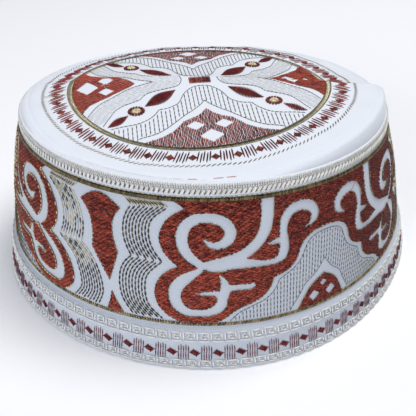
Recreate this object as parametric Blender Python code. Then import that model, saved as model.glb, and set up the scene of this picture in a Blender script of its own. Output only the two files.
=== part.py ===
"""Prayer cap: a stiff drum of embroidered cotton, open below, standing on its hem.

The cap faces -Y. A cross section is spun round Z for each piece. drape() then presses
the crosswise fold that the cap was stored with into the crown, and settle() gives the
whole cap its lean and its slightly out-of-round rim.
"""
import math
from collections import namedtuple

import bmesh
import bpy

MM = 0.001

# Driving sizes of the cloth
CLOTH = 2.0 * MM                 # stiffened cotton of the wall and the crown
GAP = 0.3 * MM                   # clearance between pieces that are sewn together
SPIN_STEPS = 72                  # facets round the cap

# Outer faces from the rim up, in millimetres
Row = namedtuple("Row", "height radius")
WALL_ROWS = [Row(1.5, 95.0), Row(8.0, 93.6), Row(16.4, 92.6), Row(24.0, 91.6), Row(33.0, 90.2),
             Row(42.0, 88.5), Row(51.0, 86.6), Row(60.0, 84.3), Row(66.4, 82.6), Row(72.3, 80.1)]
BAND_ROWS = [Row(1.5, 97.0), Row(8.0, 95.8), Row(15.4, 94.2), Row(16.5, 93.5)]
RIM_RADIUS = 97.2 * MM

# Crown, as a flat disc with a puffed margin and a rounded shoulder, before it is draped
DISC_HEIGHT = 74.6 * MM
DISC_SHIFT = -2.0 * MM           # the embroidered disc lies this far left of the seam's centre
DISC_RADII = [10, 24, 38, 50, 60, 68]
EDGE_RADIUS = 80.9 * MM
EDGE_HEIGHT = 72.6 * MM
EDGE_LIP = 3.2 * MM              # width of the edge that sits on the wall's top
PUFF = 0.8 * MM                  # how far the plain margin swells above the disc
SHOULDER_RADIUS = 73.0 * MM
SHOULDER_POWER = 2.4             # power of the superellipse that turns the shoulder down
SHOULDER_STEPS = 5

# Fold ridge, which runs across the crown from left to right, and the slopes beside it
RIDGE_HEIGHT = 81.7 * MM
RIDGE_BEHIND_CENTRE = 2.0 * MM
RIDGE_SLANT = -0.05              # the ridge's change in Y for each unit of X
RIDGE_TILT = 0.006               # the ridge's rise for each unit of X
SIDE = 57.0 * MM                 # where the ridge's end droops are stated
DROOP_LEFT = 3.4 * MM
DROOP_RIGHT = 1.3 * MM
DROOP_REACH = 30.0 * MM
FRONT_SLOPE = 0.075
FRONT_CURVE = 0.6                # added fall for each square metre of the way in front
FRONT_TWIST = 0.53               # rise for each square metre of X times the way in front
BACK_SLOPE = 0.07
BACK_TWIST = 0.7
BACK_DROP = 4.2 * MM             # the steep fall just behind the ridge, at the middle
BACK_DROP_GAIN = 1.5 * MM        # how much deeper that fall is at the right side
BACK_REACH = 8.0 * MM
CREASE_CUTS = [-8.0 * MM, 0.0, 3.5 * MM, 8.0 * MM, 16.0 * MM]

# How the soft drum settles where it stands
LEAN_X = -5.0 * MM               # the wall's top lies this far to the left of the rim
LEAN_HEIGHT = 66.4 * MM
Wave = namedtuple("Wave", "lobes cosine sine")
RIM_WAVES = [Wave(1, -0.016, -0.021), Wave(2, 0.030, -0.020), Wave(3, 0.008, -0.003),
             Wave(4, 0.002, 0.008)]
BACK_SAG = 5.3 * MM              # how far the seam dips at the back
SIDE_SHARE = 0.25                # how far round to the front that dip begins, as -Y over radius
SAG_START = 64.0 * MM            # the crown begins to follow that dip at this radius
CENTRE_X = -1.442 * MM           # these two put the cap's bounding box over the origin
CENTRE_Y = 0.778 * MM

# Satin lines: where the line's middle lies, and its half width and half thickness
Line = namedtuple("Line", "place half_width half_thickness")
FOOT_LINE = Line(17.65 * MM, 0.45 * MM, 0.32 * MM)
TOP_LINE = Line(66.4 * MM, 0.85 * MM, 0.42 * MM)
ROPE_LINE = Line(69.3 * MM, 0.90 * MM, 0.42 * MM)
CROWN_RING = Line(57.6 * MM, 1.00 * MM, 0.36 * MM)
LINE_SIDES = 6

# Finishes: sRGB colour and roughness
COTTON = ("F2F4F8", 0.85)
GOLD_THREAD = ("7C6C45", 0.45)
ROPE_THREAD = ("D9D4BE", 0.60)


def linear(channel):
    """Linear value of one sRGB channel."""
    return channel / 12.92 if channel <= 0.04045 else ((channel + 0.055) / 1.055) ** 2.4


def material(name, finish):
    """Principled material from a hex colour and a roughness."""
    colour, roughness = finish
    channels = [linear(int(colour[i:i + 2], 16) / 255) for i in (0, 2, 4)]
    made = bpy.data.materials.new(name)
    made.use_nodes = True
    shader = made.node_tree.nodes["Principled BSDF"]
    shader.inputs["Base Color"].default_value = (*channels, 1.0)
    shader.inputs["Roughness"].default_value = roughness
    shader.inputs["Metallic"].default_value = 0.0
    return made


def wall_face(height):
    """Outer radius of the wall at a height, and the wall's rise direction as (radius, height)."""
    for low, high in zip(WALL_ROWS, WALL_ROWS[1:]):
        if height <= high.height * MM:
            break
    run = high.radius - low.radius
    rise = high.height - low.height
    radius = (low.radius + run * (height / MM - low.height) / rise) * MM
    length = math.hypot(run, rise)
    return radius, (run / length, rise / length)


def wall_section():
    """Closed section of the wall, from its foot up the outside and back down the inside."""
    outer = [(row.radius * MM, row.height * MM) for row in WALL_ROWS]
    inner = [(radius - CLOTH, height) for radius, height in reversed(outer)]
    return outer + inner


def band_section():
    """Closed section of the hem band, which lies against the wall's outside."""
    outer = [(RIM_RADIUS, 0.0)] + [(row.radius * MM, row.height * MM) for row in BAND_ROWS]
    inner = [(wall_face(row.height * MM)[0] + GAP, row.height * MM) for row in reversed(BAND_ROWS)]
    foot = wall_face(0.0)[0] + GAP
    return outer + inner + [(foot, 0.0)]


def line_section(centre, across, line):
    """Closed oval section of a satin line: across runs along the cloth, as (radius, height)."""
    outward = (across[1], -across[0])
    points = []
    for side in range(LINE_SIDES):
        turn = 2 * math.pi * side / LINE_SIDES
        along = line.half_width * math.cos(turn)
        out = line.half_thickness * math.sin(turn)
        points.append((centre[0] + across[0] * along + outward[0] * out,
                       centre[1] + across[1] * along + outward[1] * out))
    return points


def wall_line_section(line):
    """Section of a satin line that lies round the wall."""
    radius, across = wall_face(line.place)
    lift = GAP + line.half_thickness
    return line_section((radius + across[1] * lift, line.place - across[0] * lift), across, line)


def crown_section():
    """Section of the flat crown, from the axis out over the shoulder and back underneath."""
    outer = [(radius * MM, DISC_HEIGHT) for radius in [0] + DISC_RADII]
    reach = EDGE_RADIUS - SHOULDER_RADIUS
    drop = DISC_HEIGHT + PUFF - EDGE_HEIGHT
    for step in range(SHOULDER_STEPS + 1):
        turn = 0.5 * math.pi * step / SHOULDER_STEPS
        out = abs(math.sin(turn)) ** (2 / SHOULDER_POWER)
        up = abs(math.cos(turn)) ** (2 / SHOULDER_POWER)
        outer.append((SHOULDER_RADIUS + reach * out, EDGE_HEIGHT + drop * up))
    lip = EDGE_RADIUS - EDGE_LIP
    under = [(lip, EDGE_HEIGHT), (lip - 0.1 * MM, DISC_HEIGHT - CLOTH)]
    under += [(radius * MM, DISC_HEIGHT - CLOTH) for radius in reversed([0] + DISC_RADII)]
    return outer + under


def spin(section, closed):
    """Bmesh of a section of (radius, height) points, spun round Z."""
    shape = bmesh.new()
    corners = [shape.verts.new((radius, 0.0, height)) for radius, height in section]
    pairs = list(zip(corners, corners[1:]))
    if closed:
        pairs.append((corners[-1], corners[0]))
    edges = [shape.edges.new(pair) for pair in pairs]
    bmesh.ops.spin(shape, geom=corners + edges, cent=(0, 0, 0), axis=(0, 0, 1),
                   angle=2 * math.pi, steps=SPIN_STEPS, use_merge=True)
    bmesh.ops.remove_doubles(shape, verts=shape.verts, dist=1e-6)
    bmesh.ops.recalc_face_normals(shape, faces=shape.faces)
    return shape


def tent_height(x, y):
    """Height of the folded crown: a gentle front slope and a steep fall behind the ridge."""
    depth = (y - RIDGE_BEHIND_CENTRE - RIDGE_SLANT * x) / math.hypot(1.0, RIDGE_SLANT)
    away = abs(depth)
    droop = DROOP_LEFT if x < 0 else DROOP_RIGHT
    ridge = RIDGE_HEIGHT + RIDGE_TILT * x - droop * (x / SIDE) ** 2 * math.exp(-away / DROOP_REACH)
    if depth < 0:
        return ridge - (FRONT_SLOPE + FRONT_CURVE * away - FRONT_TWIST * x) * away
    drop = BACK_DROP + BACK_DROP_GAIN * x / SIDE
    return ridge - drop * (1 - math.exp(-away / BACK_REACH)) - (BACK_SLOPE - BACK_TWIST * x) * away


def back_sag(x, y):
    """How far a place sinks: not at all in front or on the disc, most at the back's seam."""
    radius = max(math.hypot(x, y), 1e-9)
    outward = min(max((radius - SAG_START) / (EDGE_RADIUS - SAG_START), 0.0), 1.0)
    return BACK_SAG * outward * max(0.0, (y / radius + SIDE_SHARE) / (1.0 + SIDE_SHARE))


def drape(shape):
    """Press the fold into a flat crown piece, which keeps its sewn edge on the wall."""
    for offset in CREASE_CUTS:
        bmesh.ops.bisect_plane(shape, geom=shape.verts[:] + shape.edges[:] + shape.faces[:],
                               dist=1e-5, plane_co=(0, RIDGE_BEHIND_CENTRE + offset, 0),
                               plane_no=(-RIDGE_SLANT, 1, 0))
    for vert in shape.verts:
        x, y, z = vert.co
        share = 1.0
        if math.hypot(x, y) > EDGE_RADIUS - EDGE_LIP - 0.05 * MM:
            share = min(1.0, (z - EDGE_HEIGHT) / (DISC_HEIGHT - EDGE_HEIGHT))
        vert.co.z = z + share * (tent_height(x - DISC_SHIFT, y) - DISC_HEIGHT)


def settle(shape):
    """Lean the cap, dip its back and swell its rim as the real one stands."""
    for vert in shape.verts:
        x, y, z = vert.co
        rise = min(z / LEAN_HEIGHT, 1.0)
        angle = math.atan2(x, -y)
        swell = 1.0
        for wave in RIM_WAVES:
            turn = wave.lobes * angle
            swell += (1.0 - rise) * (wave.cosine * math.cos(turn) + wave.sine * math.sin(turn))
        vert.co.x = x * swell + LEAN_X * rise - CENTRE_X
        vert.co.y = y * swell - CENTRE_Y
        vert.co.z = z - rise * back_sag(x, y)


def finish(name, shape, coat):
    """Settle a shape and put it in the scene as one smooth shaded piece."""
    settle(shape)
    mesh = bpy.data.meshes.new(name)
    shape.to_mesh(mesh)
    shape.free()
    mesh.shade_smooth()
    mesh.set_sharp_from_angle(angle=math.radians(40))
    mesh.materials.append(coat)
    bpy.context.collection.objects.link(bpy.data.objects.new(name, mesh))


def make_crown(cotton, gold):
    """Crown panel and the gold ring sewn on it, both folded along the ridge."""
    panel = spin(crown_section(), closed=False)
    drape(panel)
    finish("crown_panel", panel, cotton)
    lift = GAP + CROWN_RING.half_thickness
    ring = spin(line_section((CROWN_RING.place, DISC_HEIGHT + lift), (-1.0, 0.0), CROWN_RING),
                closed=True)
    bmesh.ops.translate(ring, verts=ring.verts, vec=(DISC_SHIFT, 0, 0))
    drape(ring)
    finish("crown_gold_ring", ring, gold)


def make_cap():
    """All pieces of the cap."""
    cotton = material("white_cotton", COTTON)
    gold = material("gold_thread", GOLD_THREAD)
    rope = material("rope_thread", ROPE_THREAD)
    finish("hem_band", spin(band_section(), closed=True), cotton)
    finish("side_wall", spin(wall_section(), closed=True), cotton)
    finish("foot_gold_line", spin(wall_line_section(FOOT_LINE), closed=True), gold)
    finish("top_gold_line", spin(wall_line_section(TOP_LINE), closed=True), gold)
    finish("rope_line", spin(wall_line_section(ROPE_LINE), closed=True), rope)
    make_crown(cotton, gold)


for leftover in list(bpy.data.objects):
    bpy.data.objects.remove(leftover)
make_cap()
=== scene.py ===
"""Prayer cap of stiffened white cotton, embroidered all over.

The cloth is the CAD's own drum, fold and seams worked out on fine grids, in millimetres. The
embroidery is real thread: each stitch is a small closed thread laid on the cloth along a chart.
The charts are drawn in degrees round the cap and millimetres up its slope, or in
millimetres on the crown.
"""
import math
from collections import namedtuple

import bpy
import numpy as np
from mathutils import Matrix


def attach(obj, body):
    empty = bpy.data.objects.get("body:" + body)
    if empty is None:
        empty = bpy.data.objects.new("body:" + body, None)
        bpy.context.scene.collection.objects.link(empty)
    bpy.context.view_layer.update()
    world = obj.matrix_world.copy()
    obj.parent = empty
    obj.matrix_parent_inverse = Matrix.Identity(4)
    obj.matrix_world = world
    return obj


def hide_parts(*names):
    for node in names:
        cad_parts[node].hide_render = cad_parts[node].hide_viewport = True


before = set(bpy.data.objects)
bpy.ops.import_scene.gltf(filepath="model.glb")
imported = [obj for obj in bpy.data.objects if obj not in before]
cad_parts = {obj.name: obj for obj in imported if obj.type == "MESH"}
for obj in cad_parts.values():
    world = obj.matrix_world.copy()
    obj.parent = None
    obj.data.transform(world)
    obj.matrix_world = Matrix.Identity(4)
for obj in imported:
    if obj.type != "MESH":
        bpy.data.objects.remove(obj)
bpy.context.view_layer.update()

MM = 0.001
dice = np.random.default_rng(11)

# The cap's own shape

# Outer face of the wall as (height, radius), and of the hem band, from the rim up
WALL_ROWS = np.array([(1.5, 95.0), (8.0, 93.6), (16.4, 92.6), (24.0, 91.6), (33.0, 90.2),
                      (42.0, 88.5), (51.0, 86.6), (60.0, 84.3), (66.4, 82.6), (72.3, 80.1)])
BAND_ROWS = np.array([(0.0, 97.2), (1.5, 97.0), (8.0, 95.8), (15.4, 94.2), (16.5, 93.5)])
WALL_CURVE = np.polyfit(WALL_ROWS[:, 0], WALL_ROWS[:, 1], 4)
WALL_STEEP = np.polyder(WALL_CURVE)
WALL_FOOT = 1.5
WALL_TOP = 72.3
CLOTH = 2.0

# Crown: the disc, its puffed margin and its rounded shoulder
DISC_HEIGHT = 74.6
DISC_SHIFT = -2.0
EDGE_RADIUS = 80.9
EDGE_HEIGHT = 72.6
EDGE_LIP = 3.2
PUFF = 0.8
PUFF_START = 68.0
SHOULDER_RADIUS = 75.0
SHOULDER_POWER = 2.4
GROOVE_RADIUS = 77.6
GROOVE_DEPTH = 0.3
GROOVE_HALF = 0.5

# The fold pressed across the crown: its ridge, which droops to both sides, and its two slopes
RIDGE_HEIGHT = 81.7
RIDGE_BEHIND = 2.0
RIDGE_SLANT = -0.05
RIDGE_TILT = 0.006
RIDGE_SIDE = 57
DROOP_LEFT = 3.4
DROOP_RIGHT = 1.3
DROOP_REACH = 30
FRONT_SLOPE = 0.075
FRONT_CURVE = 0.0006
FRONT_TWIST = 0.00053
BACK_DROP = 4.2
BACK_DROP_GAIN = 1.5
BACK_REACH = 8
BACK_SLOPE = 0.07
BACK_TWIST = 0.0007

# Puckers of the margin: waves round the crown, each with its share, its shift and its spiral
Pucker = namedtuple("Pucker", "lobes share shift spiral")
PUCKERS = [Pucker(7, 1.0, 0.6, 0.0), Pucker(11, 0.8, 2.1, 0.06), Pucker(19, 0.6, 4.0, -0.09),
           Pucker(31, 0.4, 1.2, 0.0)]
PUCKER_RISE = 0.22
QUILT_RISE = 0.05

# How the drum settles: the lean of its top, the swell of its rim and the dip at its back
LEAN_X = -5.0
LEAN_HEIGHT = 66.4
Wave = namedtuple("Wave", "lobes cosine sine")
RIM_WAVES = [Wave(1, -0.016, -0.021), Wave(2, 0.030, -0.020), Wave(3, 0.008, -0.003),
             Wave(4, 0.002, 0.008)]
BACK_SAG = 5.3
SAG_START = 64.0
SIDE_SHARE = 0.25
CENTRE_X = -1.442
CENTRE_Y = 0.778

# The rolled seam under the crown's edge, and the slope of cloth below it, as (radius, height)
SEAM_RADIUS = 80.75
SEAM_HEIGHT = 72.3
SEAM_HALF = 0.9
SEAM_START = 68.95  # millimetres up the wall's slope


def wall_radius(z):
    """Outer radius of the wall at a height: one quartic curve through the CAD's rows."""
    return np.polyval(WALL_CURVE, z)


ROPE_FOOT = np.array([wall_radius(68.8) + 0.3, 68.8])
ROPE_HEAD = np.array([81.4, 71.9])

# Distance up the wall's slope, so that the charts can be drawn in true millimetres
SLOPE_Z = np.linspace(0.0, 73.0, 300)
SLOPE_S = np.concatenate([[0.0], np.cumsum(np.hypot(np.diff(SLOPE_Z), np.diff(wall_radius(SLOPE_Z))))])


def ramp(value, start, end):
    """0 up to the start and 1 from the end on, and a straight line between them."""
    return np.clip((value - start) / (end - start), 0.0, 1.0)


def settle(x, y, z):
    """Each point swells with the rim's waves, less towards the top, then leans and sags."""
    rise = np.minimum(z / LEAN_HEIGHT, 1.0)
    angle = np.arctan2(x, -y)
    swell = 1.0 + (1.0 - rise) * sum(wave.cosine * np.cos(wave.lobes * angle)
                                     + wave.sine * np.sin(wave.lobes * angle)
                                     for wave in RIM_WAVES)
    radius = np.maximum(np.hypot(x, y), 1e-6)
    backward = np.maximum(0.0, (y / radius + SIDE_SHARE) / (1.0 + SIDE_SHARE))
    sag = BACK_SAG * ramp(radius, SAG_START, EDGE_RADIUS) * backward
    return np.stack([x * swell + LEAN_X * rise - CENTRE_X, y * swell - CENTRE_Y,
                     z - rise * sag], axis=-1)


def round_point(turn, radius, z):
    """A point at an angle in radians from the front, at a radius and a height."""
    return settle(radius * np.sin(turn), -radius * np.cos(turn), z)


def tent(x, y):
    """Height of the folded crown: gentle in front of the ridge, a steep fall behind it.

    The ridge droops by droop * (x / side) squared, less with the distance from it. In front the
    crown falls by a slope that grows with that distance. Behind, a drop is added that has its
    full depth a little way on.
    """
    depth = (y - RIDGE_BEHIND - RIDGE_SLANT * x) / math.hypot(1.0, RIDGE_SLANT)
    away = np.abs(depth)
    droop = np.where(x < 0, DROOP_LEFT, DROOP_RIGHT)
    ridge = RIDGE_HEIGHT + RIDGE_TILT * x - droop * (x / RIDGE_SIDE) ** 2 * np.exp(-away / DROOP_REACH)
    front = ridge - (FRONT_SLOPE + FRONT_CURVE * away - FRONT_TWIST * x) * away
    drop = (BACK_DROP + BACK_DROP_GAIN * x / RIDGE_SIDE) * (1 - np.exp(-away / BACK_REACH))
    back = ridge - drop - (BACK_SLOPE - BACK_TWIST * x) * away
    return np.where(depth < 0, front, back)


def pucker(x, y):
    """Soft puckers of the margin, which grow from the stitching outwards, and a faint quilting."""
    angle = np.arctan2(y, x)
    radius = np.hypot(x, y)
    grow = ramp(radius, 58.0, 70.0) * ramp(radius, 82.0, 78.0)
    waves = sum(p.share * np.sin(p.lobes * angle + p.shift + p.spiral * radius) for p in PUCKERS)
    quilt = (QUILT_RISE * np.sin(0.55 * x + 0.8 * np.sin(0.13 * y))
             * np.sin(0.6 * y + np.sin(0.11 * x)))
    return PUCKER_RISE * grow * waves + quilt * ramp(radius, 80.0, 76.0)


def crown_height(x, y, top=True):
    """Upper or lower face of the crown, as the CAD drapes it, at a place on the flat disc.

    The shoulder is a superellipse. The tent's rise is added whole on the disc and less and less
    down the shoulder, and a narrow groove runs round it where the seam pulls the cloth in.
    """
    radius = np.hypot(x, y)
    out = ramp(radius, SHOULDER_RADIUS, EDGE_RADIUS)
    fall = (1.0 - out ** SHOULDER_POWER) ** (1.0 / SHOULDER_POWER)
    puff = PUFF * ramp(radius, PUFF_START, SHOULDER_RADIUS)
    upper = EDGE_HEIGHT + (DISC_HEIGHT + puff - EDGE_HEIGHT) * fall
    lower = np.where(radius > EDGE_RADIUS - EDGE_LIP, EDGE_HEIGHT, DISC_HEIGHT - CLOTH)
    flat = np.where(top, upper, lower)
    on_lip = radius > EDGE_RADIUS - EDGE_LIP - 0.05
    left = np.minimum(1.0, (flat - EDGE_HEIGHT) / (DISC_HEIGHT - EDGE_HEIGHT))
    groove = GROOVE_DEPTH * np.exp(-((radius - GROOVE_RADIUS) / GROOVE_HALF) ** 2)
    soft = np.where(top, pucker(x - DISC_SHIFT, y) - groove, 0.0)
    return flat + np.where(on_lip, left, 1.0) * (tent(x - DISC_SHIFT, y) - DISC_HEIGHT + soft)


# Where stitches lie

AXIS = -26.2  # degrees from the front to the middle of a vase
DEGREE = 1.553  # millimetres of chart for one degree round the wall
FRONT_DRAW = 4.2  # degrees by which the pattern opens out at the top, in front
FRONT_DRAW_AT = 3.8  # degrees from the front to the middle of that opening
LEVEL = 45.5  # millimetres up, where the pattern neither opens out nor closes in
LEVEL_TO_TOP = 20.5
SIDE_DRAW = 3.0  # degrees by which its head is drawn forward on the right
SIDE_DRAW_GAIN = 1.7  # degrees more of that at 30 millimetres below its head
PATTERN_HEAD = 67.0
CROWN_TURN = math.radians(7.0)
CROWN_DRAW = 5.0  # millimetres by which the fold draws the pattern behind it backwards
CROWN_REACH = 60.0


def on_slope(turn, up, lift):
    """Wall point at an angle in radians and a way up the slope, lifted square to the cloth."""
    z = np.interp(up, SLOPE_S, SLOPE_Z)
    steep = np.polyval(WALL_STEEP, z)
    away = lift / np.hypot(1.0, steep)
    return round_point(turn, wall_radius(z) + away, z - away * steep)


def on_wall(across, up, lift):
    """Wall chart: across in millimetres from a vase's middle, up the slope from the rim.

    A straight strip sewn round a cone opens out towards its top: the angle gains
    front draw * sine of the angle from the front. On the right it was pulled forward too,
    by side draw * squared sine of the angle.
    """
    flat = np.radians(across / DEGREE + AXIS)
    pull = SIDE_DRAW + SIDE_DRAW_GAIN * (PATTERN_HEAD - up) / 30.0
    opening = np.radians(FRONT_DRAW) * (up - LEVEL) / LEVEL_TO_TOP
    turn = (flat + opening * np.sin(flat - math.radians(FRONT_DRAW_AT))
            - np.radians(pull) * np.maximum(0.0, np.sin(flat)) ** 2)
    return on_slope(turn, up, lift)


def wall_turn(turn, up, lift):
    """Wall chart in plain degrees from the front, for lines that go evenly round the cap."""
    return on_slope(np.radians(turn), up, lift)


def on_band(turn, up, lift):
    """Hem band chart: degrees from the front, and millimetres up from the rim."""
    radius = np.interp(up, BAND_ROWS[:, 0], BAND_ROWS[:, 1])
    return round_point(np.radians(turn), radius + lift, up + 0.2 * lift)


def on_rope(turn, share, lift):
    """Rope chart: degrees from the front, and the share of the way out to the seam roll."""
    way = ROPE_HEAD - ROPE_FOOT
    away = np.array([way[1], -way[0]]) / np.hypot(*way)
    return round_point(np.radians(turn), ROPE_FOOT[0] + way[0] * share + away[0] * lift,
                       ROPE_FOOT[1] + way[1] * share + away[1] * lift)


def on_seam(turn, across, lift):
    """Seam roll chart: degrees from the front, and degrees up round the roll from its widest."""
    angle = np.radians(across)
    return round_point(np.radians(turn), SEAM_RADIUS + (SEAM_HALF + lift) * np.cos(angle),
                       SEAM_HEIGHT + (SEAM_HALF + lift) * np.sin(angle))


def on_crown(x, y, lift):
    """Crown chart: millimetres on the embroidered disc, which is turned a little."""
    a = x * math.cos(CROWN_TURN) - y * math.sin(CROWN_TURN)
    b = x * math.sin(CROWN_TURN) + y * math.cos(CROWN_TURN)
    return settle(a + DISC_SHIFT, b, crown_height(a + DISC_SHIFT, b) + lift)


def crown_turn(turn, radius, lift):
    """Crown chart in degrees from its left-to-right axis and millimetres from its middle."""
    return on_crown(radius * np.cos(np.radians(turn)), radius * np.sin(np.radians(turn)), lift)


def on_motif(x, y, lift):
    """Crown chart inside the gold ring: behind the fold the cloth is drawn backwards.

    There y grows by the draw * sine of half a turn over the pattern's depth.
    """
    back = np.clip(y, 0.0, CROWN_REACH)
    return on_crown(x, y + CROWN_DRAW * np.sin(np.pi * back / CROWN_REACH), lift)


# Meshes from arrays

Thread = namedtuple("Thread", "half_width rise sides stations", defaults=(4, 3))
THREAD_END = 0.45  # share of its width that a thread keeps at its ends
SHORTEST = 0.35  # a filling stitch shorter than this is left out


def put(name, points, faces, coat, nodes=(), tone=None, uv=None):
    """One object from millimetre points and lists of face arrays, riding on the cap."""
    mesh = bpy.data.meshes.new(name)
    faces = [np.asarray(block, dtype=np.int32) for block in faces if len(block)]
    corners = np.concatenate([block.ravel() for block in faces])
    sizes = np.concatenate([np.full(len(block), block.shape[1]) for block in faces])
    mesh.vertices.add(len(points))
    mesh.vertices.foreach_set("co", (np.asarray(points, dtype=np.float32) * MM).ravel())
    mesh.loops.add(len(corners))
    mesh.loops.foreach_set("vertex_index", corners)
    mesh.polygons.add(len(sizes))
    mesh.polygons.foreach_set("loop_start", np.concatenate([[0], np.cumsum(sizes)[:-1]]).astype(np.int32))
    if uv is not None:
        layer = mesh.uv_layers.new(name="cloth")
        layer.uv.foreach_set("vector", uv[corners].astype(np.float32).ravel())
    if tone is not None:
        mesh.attributes.new("tone", "FLOAT", "POINT").data.foreach_set("value", tone.astype(np.float32))
    mesh.update(calc_edges=True)
    mesh.validate()
    mesh.shade_smooth()
    mesh.materials.append(coat)
    made = bpy.data.objects.new(name, mesh)
    bpy.context.collection.objects.link(made)
    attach(made, "root")
    if nodes:
        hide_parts(*nodes)
    return made


def grid_faces(rows, cols, wrap_rows):
    """Quads of a grid whose columns close on themselves, and its rows too if asked."""
    row, col = np.meshgrid(np.arange(rows if wrap_rows else rows - 1), np.arange(cols), indexing="ij")
    row, col = row.ravel(), col.ravel()
    below, beside = (row + 1) % rows, (col + 1) % cols
    return np.stack([row * cols + col, row * cols + beside, below * cols + beside,
                     below * cols + col], axis=-1)


def outward(points, quads):
    """The quads, turned round if the closed shape they bound has a negative volume."""
    a, b, c, d = (points[quads[:, i]] for i in range(4))
    volume = np.einsum("ij,ij->i", a, np.cross(b, c) + np.cross(c, d)).sum()
    return quads if volume > 0 else quads[:, ::-1]


def smooth(points, steps=6):
    """Curve through the points: on each stretch the cubic that leans as its neighbours do."""
    p = np.asarray(points, dtype=float)
    p = np.concatenate([[2 * p[0] - p[1]], p, [2 * p[-1] - p[-2]]])
    t = (np.arange(steps) / steps)[None, :, None]
    a, b, c, d = (p[i:len(p) - 3 + i, None, :] for i in range(4))
    curve = b + 0.5 * t * (c - a + t * (2 * a - 5 * b + 4 * c - d + t * (3 * (b - c) + d - a)))
    return np.concatenate([curve.reshape(-1, p.shape[1]), p[-2:-1]])


def outline(*stretches):
    """Closed outline of smooth stretches, with a corner where one meets the next."""
    return np.concatenate([smooth(stretch)[:-1] for stretch in stretches])


def inside(shape, x, y):
    """True where a point lies in an outline: a level ray from it crosses it an odd number of times."""
    hit = np.zeros(x.shape, dtype=bool)
    for (x0, y0), (x1, y1) in zip(shape, np.roll(shape, -1, axis=0)):
        if y0 != y1:
            crosses = (y0 > y) != (y1 > y)
            hit ^= crosses & (x < x0 + (x1 - x0) * (y - y0) / (y1 - y0))
    return hit


def in_ribbon(ribbon, x, y):
    """True where a point lies on a ribbon: within its half width of its middle line."""
    hit = np.zeros(x.shape, dtype=bool)
    for px, py, half in smooth(ribbon, 8):
        hit |= (x - px) ** 2 + (y - py) ** 2 < half * half
    return hit


def runs(shape, low, high, pitch, left, right, step=0.08):
    """Each row of a shape as its unbroken runs: the rows' heights, and each run's ends."""
    rows = np.arange(low, high, pitch)
    cols = np.arange(left, right, step)
    x, y = np.meshgrid(cols, rows)
    change = np.diff(np.pad(shape(x, y), ((0, 0), (1, 1))).astype(np.int8), axis=1)
    row, start = np.nonzero(change == 1)
    end = np.nonzero(change == -1)[1]
    return rows[row], row, cols[start], cols[end - 1]


def straight(x0, y0, x1, y1):
    """Straight stitches from the arrays, or single values, of their two ends."""
    return np.stack([np.stack(np.broadcast_arrays(x0, y0), -1),
                     np.stack(np.broadcast_arrays(x1, y1), -1)], 1)


def slanted(turn, from_turn, from_up, to_turn, to_up):
    """The same stitch at each angle, from one offset to another."""
    return straight(turn + from_turn, from_up, turn + to_turn, to_up)


def tatami(found, length, wander):
    """Stitches that fill runs: a comb of the stitch length, shifted from row to row, cuts them."""
    height, row, start, end = found
    comb = (row * 0.382) % 1.0
    first = np.floor(start / length - comb)
    counts = (np.ceil(end / length - comb) - first).astype(int)
    index = np.repeat(np.arange(len(start)), counts)
    step = np.arange(counts.sum()) - np.repeat(np.cumsum(counts) - counts, counts)
    cut = (first + comb)[index] + step
    a = np.maximum(start[index], cut * length)
    b = np.minimum(end[index], (cut + 1) * length)
    y = height[index] + dice.uniform(-wander, wander, len(index))
    return straight(a, y, b, y)[b - a > SHORTEST]


def reach_along(path):
    """Distance along a path at each of its points."""
    return np.concatenate([[0.0], np.cumsum(np.hypot(*np.diff(path, axis=0).T))])


def dashes(path, length, gap, shift=0.0):
    """Running stitches along a path: equal lengths of it with equal gaps between them."""
    reach = reach_along(path)
    start = np.arange(shift, reach[-1] - 0.5 * length, length + gap)
    ends = np.stack([start, np.minimum(start + length, reach[-1])], axis=1)
    return np.stack([np.interp(ends, reach, path[:, 0]), np.interp(ends, reach, path[:, 1])], -1)


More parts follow.
